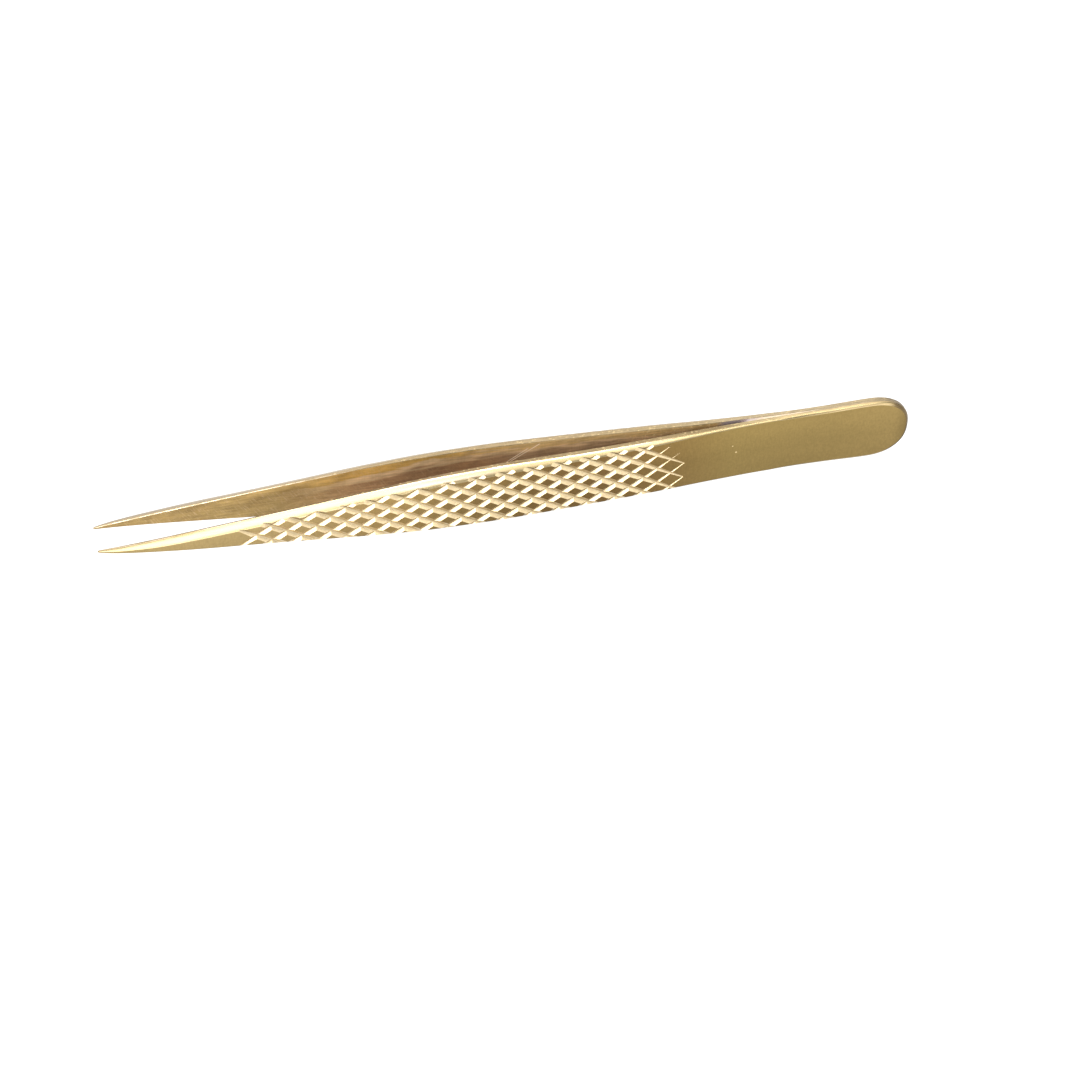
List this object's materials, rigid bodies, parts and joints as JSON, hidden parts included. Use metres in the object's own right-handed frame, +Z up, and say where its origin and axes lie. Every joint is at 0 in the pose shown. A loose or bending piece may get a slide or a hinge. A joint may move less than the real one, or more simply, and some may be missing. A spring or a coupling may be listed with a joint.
{
  "type": "stamp tongs",
  "caption": "Slim sprung tongs with needle points, diamond-cut grips on the outer faces and a flat welded tail, for picking up stamps and other thin items.",
  "frame": {"origin": "halfway along, on the mirror plane between the blades, at the level of the lowest edge when the tongs stand on their narrow edges", "axes": "+X from the points to the tail, +Y from the front blade to the rear blade, +Z up, across the blades' width"},
  "size_m": [0.135, 0.0094, 0.0109],
  "materials": {
    "front_blade": "stainless spring steel with a satin gold titanium coating, finely brushed, brighter on the ground bevels and in the grip grooves",
    "rear_blade": "stainless spring steel with a satin gold titanium coating, finely brushed, slightly stained ochre and brown on the inner face",
    "tail_weld": "heat-tinted weld metal, dull grey with a purple tinge"
  },
  "bodies": {
    "tail": {"front_blade_tail": "front_blade", "rear_blade_tail": "rear_blade", "tail_weld": "tail_weld"},
    "front_arm": {"front_blade_arm": "front_blade"},
    "rear_arm": {"rear_blade_arm": "rear_blade"}
  },
  "joints": [
    {"name": "front_arm_bend", "type": "hinge", "parent": "tail", "child": "front_arm", "pos_m": [0.0345, -0.0011, 0.00545], "axis": [0, 0, -1], "range_deg": [0, 1.52], "stiffness_Nm_per_rad": 1.5},
    {"name": "rear_arm_bend", "type": "hinge", "parent": "tail", "child": "rear_arm", "pos_m": [0.0345, 0.0011, 0.00545], "axis": [0, 0, 1], "range_deg": [0, 1.52], "stiffness_Nm_per_rad": 1.5}
  ],
  "couplings": [
    {"joint": "rear_arm_bend", "follows": "front_arm_bend", "ratio": 1}
  ]
}
